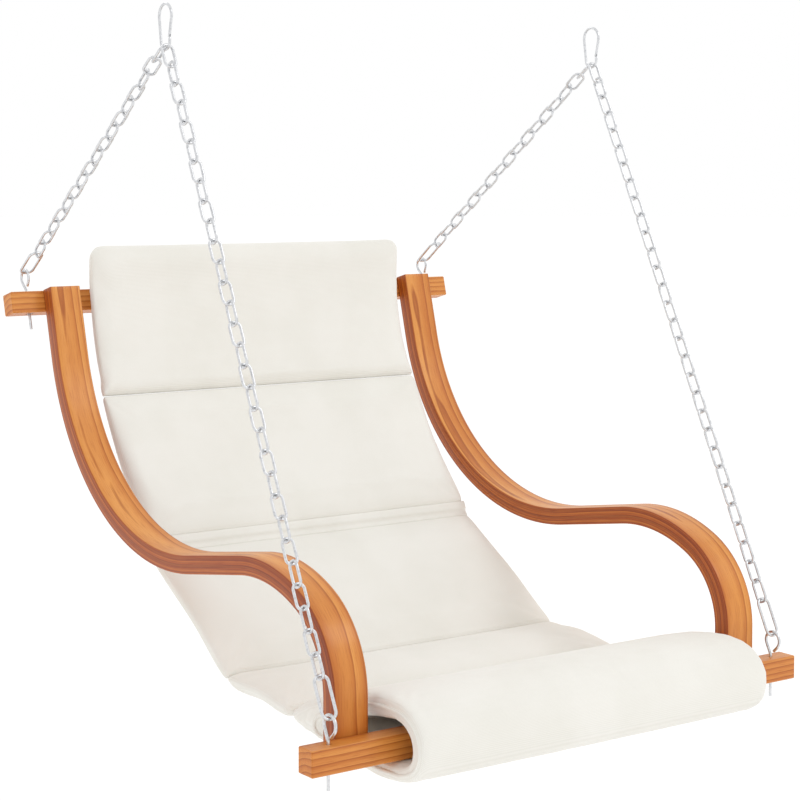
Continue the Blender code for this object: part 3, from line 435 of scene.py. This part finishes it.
def bend_strip(obj, x, start, heading, moves):
    """Bends a strip, X along, Y across and Z into it, round a route, and keeps its old place as grain."""
    mesh = obj.data
    grain = mesh.attributes.new("grain", "FLOAT_VECTOR", "POINT")
    for i, vertex in enumerate(mesh.vertices):
        along, across, deep = vertex.co
        grain.data[i].vector = (along, across, deep)
        place, lean = follow(start, heading, moves, max(along, 0.0))
        rear = Vector((math.cos(math.radians(lean)), -math.sin(math.radians(lean))))
        place = place + rear * deep
        vertex.co = (x + across, place.x, place.y)
    mesh.update()


# %% [markdown]
# An arm on the real chair is a stack of veneers glued up in a bent mould and then planed. Here it is
# planed first and bent after: a flat grid is made to length, extruded to its thickness and its edges
# rounded over while it is still straight, and then every point is moved onto the bend. That keeps the
# edge round everywhere and lets the grain follow the arm.

# %% Bent arms
ARM_THICKNESS = 0.028
ARM_EDGE = 0.0014
ARM_ROUTE = ((None, 0.083), (0.150, 62.0), (0.260, 37.0), (None, 0.1495), (0.366, -84.5), (None, 0.1156))
ARM_GAP = 0.0003
ARM_FOOT = (FRONT_BAR.y + BAR_HALF_DEPTH + ARM_GAP, FRONT_BAR.z - BAR_HALF_HEIGHT)
ARM_GRID = (170, 6)


def bevel_edges(obj, width, segments):
    modifier = obj.modifiers.new("rounded edges", "BEVEL")
    modifier.width = width
    modifier.segments = segments
    modifier.limit_method = "ANGLE"
    modifier.angle_limit = math.radians(40)
    pick(obj)
    bpy.ops.object.modifier_apply(modifier=modifier.name)


def flat_strip(name, length, width, thickness, along, across):
    """A straight strip from X = 0, with its upper face at Z = 0 and its thickness towards +Z."""
    bpy.ops.mesh.primitive_grid_add(x_subdivisions=along, y_subdivisions=across, size=1.0)
    obj = bpy.context.object
    obj.name = name
    obj.scale = (length, width, 1.0)
    obj.location = (length / 2, 0.0, 0.0)
    pick(obj)
    bpy.ops.object.transform_apply(location=True, rotation=True, scale=True)
    if thickness:
        bpy.ops.object.mode_set(mode="EDIT")
        bpy.ops.mesh.select_all(action="SELECT")
        bpy.ops.mesh.extrude_region_move(TRANSFORM_OT_translate={"value": (0.0, 0.0, thickness)})
        bpy.ops.mesh.select_all(action="SELECT")
        bpy.ops.mesh.normals_make_consistent(inside=False)
        bpy.ops.object.mode_set(mode="OBJECT")
    return obj


def face_outwards(obj, angle=35):
    """Makes the faces of a closed piece point outwards, and shades its round stretches smooth."""
    pick(obj)
    bpy.ops.object.mode_set(mode="EDIT")
    bpy.ops.mesh.select_all(action="SELECT")
    bpy.ops.mesh.normals_make_consistent(inside=False)
    bpy.ops.object.mode_set(mode="OBJECT")
    bpy.ops.object.shade_smooth_by_angle(angle=math.radians(angle))


for side, word in SIDES:
    arm = flat_strip(f"bent_arm_{word}", route_length(ARM_ROUTE), 2 * ARM_HALF_WIDTH, ARM_THICKNESS,
                     *ARM_GRID)
    bevel_edges(arm, ARM_EDGE, 3)
    bend_strip(arm, side * ARM_X, ARM_FOOT, 0.0, ARM_ROUTE)
    face_outwards(arm)
    arm.data.materials.append(arm_timber[word])
    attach(arm, "seat")
    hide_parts(f"arm_{word}")
    print(arm.name, "strip length", round(route_length(ARM_ROUTE), 3), "m, faces", len(arm.data.polygons))

# %% [markdown]
# Most of the metal that shows is bent wire: chain links, the long links on the eyes, the eyes themselves
# and the hooks. A circle of the wire's size is extruded for each straight run and spun for each bend.
# A link closes on itself, so its last ring meets its first and they are merged. An open wire gets its
# two ends filled.


# %% Bending wire
PAST_THE_END = 10.0  # metres, longer than any move


def bent_wire(name, wire, start, heading, moves, closed, sides=12, step_degrees=18, pressed=()):
    """Round wire in the (Y, Z) plane. pressed is a list of (length, x share, flat share) at its far end."""
    bpy.ops.mesh.primitive_circle_add(vertices=sides, radius=wire / 2, fill_type="NOTHING")
    obj = bpy.context.object
    obj.name = name
    obj.rotation_euler = (math.radians(-heading), 0.0, 0.0)
    obj.location = (0.0, *start)
    pick(obj)
    bpy.ops.object.transform_apply(location=True, rotation=True, scale=True)
    bpy.ops.object.mode_set(mode="EDIT")
    bpy.ops.mesh.select_all(action="SELECT")
    place, lean = Vector(start), heading
    for radius, amount in moves:
        side = Vector((0.0, math.cos(math.radians(lean)), -math.sin(math.radians(lean))))
        if radius is None:
            ahead = Vector((0.0, -side.z, side.y)) * amount
            bpy.ops.mesh.extrude_region_move(TRANSFORM_OT_translate={"value": ahead})
        else:
            centre = Vector((0.0, *place)) + side * math.copysign(radius, amount)
            steps = max(2, round(abs(amount) / step_degrees))
            bpy.ops.mesh.spin(steps=steps, angle=math.radians(amount), center=centre, axis=(1.0, 0.0, 0.0))
        place, lean = follow(place, lean, ((radius, amount),), PAST_THE_END)
    for length, thin, flat in pressed:
        ahead = Vector((0.0, math.sin(math.radians(lean)), math.cos(math.radians(lean)))) * length
        bpy.ops.mesh.extrude_region_move(TRANSFORM_OT_translate={"value": ahead})
        place = place + Vector((ahead.y, ahead.z))
        bpy.ops.transform.resize(value=(thin, flat, flat), center_override=(0.0, place.x, place.y))
    bpy.ops.mesh.select_all(action="SELECT")
    if closed:
        bpy.ops.mesh.remove_doubles(threshold=0.00005)
    else:
        bpy.ops.mesh.fill_holes(sides=0)
    bpy.ops.object.mode_set(mode="OBJECT")
    face_outwards(obj, 50)
    return obj


def link(name, wire, width, length, corner):
    """A closed link in the (Y, Z) plane about the origin. Width is outside, length between wire centres."""
    reach = (width - wire) / 2
    quarter = (corner, 90.0)
    end = (None, 2 * (reach - corner))
    moves = ((None, length / 2 - corner), quarter, end, quarter, (None, length - 2 * corner),
             quarter, end, quarter, (None, length / 2 - corner))
    return bent_wire(name, wire, (-reach, 0.0), 0.0, moves, closed=True)


chain_link = link("chain_link", wire=0.0043, width=0.0225, length=0.03585, corner=0.0078)
long_link = link("long_link", wire=0.0046, width=0.0270, length=0.0584, corner=0.0095)
print("a chain link has", len(chain_link.data.vertices), "points and measures",
      tuple(round(v * 1000, 1) for v in chain_link.dimensions), "mm")

# %% [markdown]
# A chain is the same link over and over, a quarter turn on each time, 31.45 mm apart. The long link at
# its lower end and every second link lie flat to the front. The back chains have an odd number of links,
# so their first three links share the missing quarter turn, as a real chain does when it hangs a little
# twisted. Each top link turns on its hook, so it is a piece of its own.

# %% Chains
LINK_PITCH = 0.03145
TOP_LINK_CENTRE = 0.01745
SECOND_LINK_CENTRE = 0.04680
TOP_LINK_SPREAD = 0.0026
TOP_LINK_HEIGHT = -0.05911
CHAINS = {"front": (30, -TOP_LINK_SPREAD, ()), "back": (17, TOP_LINK_SPREAD, (-30.0, 30.0, 16.0))}


def placed_copy(pattern, name, centre, along, sideways):
    """A copy with its own mesh, its length along one direction and its width along another."""
    obj = bpy.data.objects.new(name, pattern.data.copy())
    bpy.context.scene.collection.objects.link(obj)
    turn = Matrix((sideways.cross(along), sideways, along)).transposed().to_4x4()
    obj.data.transform(Matrix.Translation(centre) @ turn)
    return obj


def dress(obj, material, body, slot, *nodes):
    """Three things that every new piece needs: a finish, a body and its design nodes, which are hidden.
    slot is not used.
    """
    obj.data.materials.clear()
    obj.data.materials.append(material)
    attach(obj, body)
    if nodes:
        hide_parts(*nodes)


for end, (count, spread, turns) in CHAINS.items():
    for side, word in SIDES:
        top = Vector((side * HANG_X, spread, TOP_LINK_HEIGHT))
        long_centre = middle(f"long_link_{end}_{word}")
        along = (long_centre - top).normalized()
        flat = Vector((1.0, 0.0, 0.0))
        links = []
        for index in range(count):
            sideways = flat if index == 0 or (count - index) % 2 == 0 else flat.cross(along)
            if index < len(turns):
                sideways = Matrix.Rotation(math.radians(turns[index]), 3, along) @ sideways
            centre = TOP_LINK_CENTRE if index == 0 else SECOND_LINK_CENTRE + LINK_PITCH * (index - 1)
            links.append(placed_copy(chain_link, f"hung_link_{end}_{word}_{index}", top + along * centre,
                                     along, sideways))
        links[0].name = f"hung_top_link_{end}_{word}"
        dress(links[0], zinc, "top_links", "zinc_steel", f"top_link_{end}_{word}")
        pick(*links[2:], links[1])
        bpy.ops.object.join()
        links[1].name = f"hung_chain_{end}_{word}"
        dress(links[1], zinc, f"chains_{word}", "zinc_steel", f"chain_{end}_{word}")
        last = placed_copy(long_link, f"hung_long_link_{end}_{word}", long_centre, along, flat)
        dress(last, zinc, f"chains_{word}", "zinc_steel", f"long_link_{end}_{word}")
        print(end, word, "chain:", count, "links, run", round((long_centre - top).length, 3), "m")
for pattern in (chain_link, long_link):
    bpy.data.objects.remove(pattern)

# %% [markdown]
# An eye bolt is one wire: a shank up through the bar, then a loop like a drop of water, whose
# sides run straight from the foot to where they touch the round. The front eyes lean 4 mm forward, as the
# chain pulls them. The corner at the foot is a small bend that shortens the straight runs beside it.

# %% Eye bolts
EYE_WIRE = 0.0048
EYE_RADIUS = 0.0135
EYE_HEIGHT = 0.0444
EYE_FOOT = BAR_HALF_HEIGHT + 0.0035
EYE_LEAN_FORWARD = 0.004
EYE_END_GAP = EYE_WIRE * 1.9  # from the wire's end to the corner at the foot
SHANK_BELOW = 0.026
CORNER_RADIUS = 0.0034


def eye_moves(forward):
    """The moves of one wire, up the shank and round the loop. Heights are over the bar's middle."""
    rise = math.hypot(EYE_HEIGHT - EYE_FOOT, forward)
    lean = math.degrees(math.asin(forward / rise))
    reach = math.degrees(math.acos(EYE_RADIUS / rise))
    tangent = math.sqrt(rise ** 2 - EYE_RADIUS ** 2)
    corner = 90 - reach - lean
    trimmed = CORNER_RADIUS * math.tan(math.radians(corner / 2))
    return ((None, BAR_HALF_HEIGHT + SHANK_BELOW + EYE_FOOT - trimmed), (CORNER_RADIUS, corner),
            (None, tangent - trimmed), (EYE_RADIUS, -(360 - 2 * reach)), (None, tangent - EYE_END_GAP))


for end, bar, lean, forward in (("front", FRONT_BAR, 0.0, EYE_LEAN_FORWARD),
                                ("back", BACK_BAR, BACK_LEAN, 0.0)):
    eye = bent_wire(f"eye_{end}", EYE_WIRE, (0.0, -BAR_HALF_HEIGHT - SHANK_BELOW), 0.0, eye_moves(forward),
                    closed=False, sides=14, step_degrees=12)
    for side, word in SIDES:
        name = f"eye_bolt_{end}_{word}"
        turn = Matrix.Rotation(math.radians(-lean), 4, "X")
        turn.translation = (side * HANG_X, bar.y, bar.z)
        made = bpy.data.objects.new(f"bent_{name}", eye.data.copy())
        bpy.context.scene.collection.objects.link(made)
        made.data.transform(turn)
        dress(made, zinc, "seat", "zinc_steel", name)
    bpy.data.objects.remove(eye)
print("eye loop ends", round((EYE_HEIGHT + EYE_RADIUS + EYE_WIRE / 2) * 1000, 1),
      "mm over the bar's middle")

# %% [markdown]
# A snap hook is a wire from its nose over a wide crown, down the back, round a tighter foot and up to the
# gate's pivot, where it is pressed flat so that the slotted gate fits over it. The two round ends are
# joined by the straight line that touches both, so the back of the hook slopes a few degrees.

# %% Snap hooks
HOOK_WIRE = 0.0042
CROWN_RADIUS = 0.0180
FOOT_RADIUS = 0.0128
NOSE_ANGLE = 12.0
CROWN_CENTRE = -CROWN_RADIUS + HOOK_WIRE / 2
FOOT_CENTRE = -0.0524
PIVOT = Vector((-0.0118, -0.0456))
PRESSED_FROM = 0.0036  # the round wire stops this far short of the pivot
PRESSED = ((0.0012, 0.34, 0.9), (0.0040, 1.0, 1.0), (0.0006, 0.9, 0.6))
between = CROWN_CENTRE - FOOT_CENTRE
slope = math.degrees(math.asin((CROWN_RADIUS - FOOT_RADIUS) / between))
nose = (-CROWN_RADIUS * math.cos(math.radians(NOSE_ANGLE)),
        CROWN_CENTRE - CROWN_RADIUS * math.sin(math.radians(NOSE_ANGLE)))
to_pivot = PIVOT - Vector((0.0, FOOT_CENTRE))
tangent_angle = math.degrees(math.atan2(to_pivot.y, to_pivot.x)) + math.degrees(
    math.acos(FOOT_RADIUS / to_pivot.length))
foot_sweep = 360 - tangent_angle - slope
run_up = math.sqrt(to_pivot.length ** 2 - FOOT_RADIUS ** 2)
hook_moves = ((CROWN_RADIUS, 180 + NOSE_ANGLE + slope),
              (None, math.sqrt(between ** 2 - (CROWN_RADIUS - FOOT_RADIUS) ** 2)),
              (FOOT_RADIUS, foot_sweep), (None, max(0.0002, run_up - PRESSED_FROM)))
hook = bent_wire("hook", HOOK_WIRE, nose, -NOSE_ANGLE, hook_moves, closed=False, sides=14, step_degrees=10,
                 pressed=PRESSED)
for side, word in SIDES:
    made = bpy.data.objects.new(f"bent_hook_{word}", hook.data.copy())
    bpy.context.scene.collection.objects.link(made)
    made.data.transform(Matrix.Translation((side * HANG_X, 0.0, 0.0)))
    dress(made, zinc, "hooks", "zinc_steel", f"hook_{word}")
print("hook slope", round(slope, 2), "degrees, foot sweep", round(foot_sweep, 1))
bpy.data.objects.remove(hook)

# %% [markdown]
# The cushion is a row of foam pads in one canvas cover, sewn through between the pads. Each pad starts
# from the plain solid of the design: its points are merged, it is remeshed into even small faces, drawn in
# and then blown up a little as cloth, held along its seams, so that it crowns in the middle and pulls in
# at the sewn ends. How far a point may move is capped, so the pad keeps the design's size.


# %% Stuffing a pad
PAD_FRAMES = 20
PAD_PRESSURE = 4.0
SMOOTH_ROUNDS = 3
# The seams from the headrest down, as (y, z) from the front bar, and the way down the sling at each.
SEAMS = [Vector((FRONT_BAR.y + y, FRONT_BAR.z + z)) for y, z in (
    (0.801, 0.398), (0.651, 0.180), (0.640, 0.157), (0.408, 0.006), (0.241, -0.010))]
SLING_DOWN = [Vector(way).normalized() for way in (
    (-0.47, -0.83), (-0.55, -0.85), (-0.75, -0.65), (-0.9, -0.45), (-1.0, -0.1))]
SEWN_REACH = 0.009  # cloth this near a seam is held while the pad is blown up
MEET_REACH = 0.012  # cloth this near a seam is then drawn towards it
MEET_BY = 0.0024  # by at most this much


def remeshed_copy(name, node, voxel, shrink):
    """An evenly remeshed copy of a design solid, drawn in by a little."""
    obj = bpy.data.objects.new(name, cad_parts[node].data.copy())
    bpy.context.scene.collection.objects.link(obj)
    pick(obj)
    bpy.ops.object.mode_set(mode="EDIT")
    bpy.ops.mesh.select_all(action="SELECT")
    bpy.ops.mesh.remove_doubles(threshold=0.00001)
    bpy.ops.mesh.normals_make_consistent(inside=False)
    bpy.ops.object.mode_set(mode="OBJECT")
    remesh = obj.modifiers.new("even faces", "REMESH")
    remesh.mode = "VOXEL"
    remesh.voxel_size = voxel
    bpy.ops.object.modifier_apply(modifier=remesh.name)
    if shrink:
        draw_in = obj.modifiers.new("draw in", "DISPLACE")
        draw_in.strength = -shrink
        draw_in.mid_level = 0.0
        bpy.ops.object.modifier_apply(modifier=draw_in.name)
    return obj


def blow_up(obj, pressure, cap):
    """Cloth under pressure, pinned near the seams, its moves capped. Returns the mean move."""
    pinned = obj.vertex_groups.new(name="sewn")
    near = [v.index for v in obj.data.vertices
            if min((Vector((v.co.y, v.co.z)) - seam).length for seam in SEAMS) < SEWN_REACH]
    pinned.add(near, 1.0, "REPLACE")
    cloth = obj.modifiers.new("cloth", "CLOTH")
    cloth.settings.quality = 4
    cloth.settings.mass = 0.3
    cloth.settings.tension_stiffness = 12
    cloth.settings.compression_stiffness = 12
    cloth.settings.bending_stiffness = 0.8
    cloth.settings.use_pressure = True
    cloth.settings.uniform_pressure_force = pressure
    cloth.settings.effector_weights.gravity = 0.0
    cloth.settings.vertex_group_mass = "sewn"
    cloth.point_cache.frame_start = 1
    cloth.point_cache.frame_end = PAD_FRAMES
    before = np.array([v.co for v in obj.data.vertices])
    scene = bpy.context.scene
    for number in range(1, PAD_FRAMES + 1):
        scene.frame_set(number)
    blown = obj.evaluated_get(bpy.context.evaluated_depsgraph_get())
    after = np.array([v.co for v in blown.data.vertices])
    obj.modifiers.remove(cloth)
    scene.frame_set(1)
    move = after - before
    length = np.linalg.norm(move, axis=1, keepdims=True)
    move *= np.minimum(1.0, cap / np.maximum(length, 1e-9))
    obj.data.vertices.foreach_set("co", (before + move).ravel())
    obj.data.update()
    obj.vertex_groups.clear()
    return float(np.linalg.norm(move, axis=1).mean())


def meet_at_seams(obj):
    """Draws the sewn ends of a pad out to their seams, so that it meets the next pad in a crease."""
    points = np.array([v.co for v in obj.data.vertices])
    centre = points.mean(axis=0)[1:]
    for seam, down in zip(SEAMS, SLING_DOWN):
        away = np.linalg.norm(points[:, 1:] - np.array(seam), axis=1)
        towards = math.copysign(1.0, float((np.array(seam) - centre) @ np.array(down)))
        share = np.clip(1 - away / MEET_REACH, 0.0, 1.0)[:, None]
        points[:, 1:] += np.array(down) * towards * MEET_BY * np.sqrt(share)
    obj.data.vertices.foreach_set("co", points.ravel())
    obj.data.update()


def round_off(obj, rounds):
    """Evens out the small steps that the remesh leaves, then divides every face once."""
    even = obj.modifiers.new("even out", "SMOOTH")
    even.iterations = rounds
    pick(obj)
    bpy.ops.object.modifier_apply(modifier=even.name)
    finer = obj.modifiers.new("finer", "SUBSURF")
    finer.levels = 1
    finer.render_levels = 1
    bpy.ops.object.modifier_apply(modifier=finer.name)
    obj.data.shade_smooth()


# %% [markdown]
# Four pads and the roll are stuffed. The narrow band between the two back pads is only two layers of
# cloth with a strip of wadding, so it stays nearly flat and isn't blown up.

# %% The pads
# Each pad's voxel, how far it is drawn in first, the cap on its cloth's moves, and how full it is.
PADS = {
    "cushion_headrest": (0.006, 0.0020, 0.0050, 0.75),
    "cushion_upper_back": (0.006, 0.0020, 0.0055, 0.80),
    "cushion_lower_back": (0.006, 0.0020, 0.0055, 0.80),
    "cushion_seat": (0.006, 0.0020, 0.0050, 0.80),
    "cushion_front_roll": (0.0042, 0.0010, 0.0030, 0.70),
    "cushion_back_band": (0.0025, 0.0, 0.0, 0.30),
}
pads = {}
for node, (voxel, shrink, cap, fill) in PADS.items():
    pad = remeshed_copy(f"sewn_{node}", node, voxel, shrink)
    moved = 0.0
    if cap:
        moved = blow_up(pad, PAD_PRESSURE, cap)
    meet_at_seams(pad)
    round_off(pad, SMOOTH_ROUNDS)
    dress(pad, cover, "seat", "cream_cloth", node)
    pads[node] = pad
    print(pad.name, "faces", len(pad.data.polygons), "mean move", round(moved * 1000, 2), "mm")

# %% [markdown]
# Each open end of the roll is bound with a narrow tape, which shows as a pale rim. It follows the middle
# of the roll's wall, so it is a closed smooth curve through a few points of that, given a round section
# and made a mesh.

# %% Binding of the roll's ends
BINDING_RADIUS = 0.0030
# Points of the roll's end as (y, z) from the front bar's middle.
BINDING_ROUTE = ((0.128, 0.016), (0.063, 0.0425), (-0.010, 0.052), (-0.051, 0.044), (-0.0715, 0.020),
                 (-0.069, -0.011), (-0.0465, -0.0285), (0.0, -0.0350), (0.0575, -0.0340), (0.128, -0.026),
                 (0.172, -0.012))
ROLL_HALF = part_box("cushion_front_roll")[1][0]
for side, word in SIDES:
    curve = bpy.data.curves.new(f"roll_binding_{word}", "CURVE")
    curve.dimensions = "3D"
    curve.bevel_depth = BINDING_RADIUS
    curve.bevel_resolution = 3
    curve.resolution_u = 8
    spline = curve.splines.new("BEZIER")
    spline.bezier_points.add(len(BINDING_ROUTE) - 1)
    for point, (y, z) in zip(spline.bezier_points, BINDING_ROUTE):
        point.co = (side * (ROLL_HALF - BINDING_RADIUS), FRONT_BAR.y + y, FRONT_BAR.z + z)
        point.handle_left_type = point.handle_right_type = "AUTO"
    spline.use_cyclic_u = True
    binding = bpy.data.objects.new(f"roll_binding_{word}", curve)
    bpy.context.scene.collection.objects.link(binding)
    pick(binding)
    bpy.ops.object.convert(target="MESH")
    binding = bpy.context.object
    face_outwards(binding, 60)
    dress(binding, cover, "seat", "cream_cloth")
    print(binding.name, "faces", len(binding.data.polygons))

# %% [markdown]
# The sleeve is one strip of the same canvas that goes round the back bar and is sewn to itself below, so
# that the sling hangs from the bar. It starts as a flat cut, follows a route round the bar's four faces
# with small bends at the edges, and gets its thickness last.

# %% Sleeve on the back bar
SLEEVE_WIDTH = 0.560
SLEEVE_TAIL = 0.030
SLEEVE_CORNER = 0.0030
SLEEVE_EASE = 0.0006
SLEEVE_GRID = (110, 140)
CLOTH = 0.0014
half_depth = BAR_HALF_DEPTH + SLEEVE_EASE + CLOTH / 2
half_height = BAR_HALF_HEIGHT + SLEEVE_EASE + CLOTH / 2
depth_run = (None, 2 * (half_depth - SLEEVE_CORNER))
height_run = (None, 2 * (half_height - SLEEVE_CORNER))
round_edge = (SLEEVE_CORNER, 90.0)
SLEEVE_ROUTE = ((None, SLEEVE_TAIL + SLEEVE_CORNER), height_run, round_edge, depth_run, round_edge,
                height_run, round_edge, depth_run)
up = Vector((math.sin(math.radians(BACK_LEAN)), math.cos(math.radians(BACK_LEAN))))
rear = Vector((up.y, -up.x))
sleeve_start = Vector((BACK_BAR.y, BACK_BAR.z)) - rear * half_depth - up * (half_height + SLEEVE_TAIL)
sleeve = flat_strip("sewn_back_sleeve", route_length(SLEEVE_ROUTE), SLEEVE_WIDTH, 0.0, *SLEEVE_GRID)
bend_strip(sleeve, 0.0, sleeve_start, BACK_LEAN, SLEEVE_ROUTE)
thick = sleeve.modifiers.new("cloth", "SOLIDIFY")
thick.thickness = CLOTH
thick.offset = 0.0
pick(sleeve)
bpy.ops.object.modifier_apply(modifier=thick.name)
face_outwards(sleeve, 60)
dress(sleeve, cover, "seat", "cream_cloth", "back_sleeve")
print("sleeve cut", SLEEVE_WIDTH, "by", round(route_length(SLEEVE_ROUTE), 3), "m")

# %% [markdown]
# The seams are sewn with thick thread: one row on the pad at each side of a seam. The narrow band and the
# roll have no row of their own. One stitch is a small ball drawn out along the seam, and it is copied
# along each row. A ray cast onto the pad from above finds where each stitch lies.


# %% Stitches
STITCH_STEP = 0.0042
STITCH_LENGTH = 0.0030
STITCH_THICK = 0.0007
ROW_OFFSET = 0.0065
ROW_HALF = 0.312
RAY_START = 0.04
# The pad that a row is on, the number of its seam, and the side of the seam: 1 is further down the sling.
ROWS = (("cushion_headrest", 0, -1), ("cushion_upper_back", 0, 1), ("cushion_upper_back", 1, -1),
        ("cushion_lower_back", 2, 1), ("cushion_lower_back", 3, -1), ("cushion_seat", 3, 1),
        ("cushion_seat", 4, -1))
bpy.ops.mesh.primitive_ico_sphere_add(subdivisions=1, radius=1.0)
stitch = bpy.context.object
stitch.scale = (STITCH_LENGTH / 2, STITCH_THICK, STITCH_THICK)
pick(stitch)
bpy.ops.object.transform_apply(location=True, rotation=True, scale=True)
thread = canvas("cream_sewing_thread", "#F4F2EC", "#ECE9E2")
for row, (node, seam, step) in enumerate(ROWS):
    down = SLING_DOWN[seam]
    normal = Vector((0.0, down.y, -down.x))
    base = SEAMS[seam] + down * ROW_OFFSET * step
    made = []
    for k in range(int(2 * ROW_HALF / STITCH_STEP)):
        ray_from = Vector((-ROW_HALF + k * STITCH_STEP, base.x, base.y)) + normal * RAY_START
        hit, place, face_normal, _ = pads[node].ray_cast(ray_from, -normal)
        if not hit:
            continue
        sideways = face_normal.cross(Vector((1.0, 0.0, 0.0))).normalized()
        made.append(placed_copy(stitch, f"stitch_{row}_{k}", place, face_normal, sideways))
    if made:
        pick(*made[1:], made[0])
        bpy.ops.object.join()
        made[0].name = f"stitches_{row}"
        dress(made[0], thread, "seat", "cream_cloth")
    print("row", row, "on", node, ":", len(made), "stitches")
bpy.data.objects.remove(stitch)
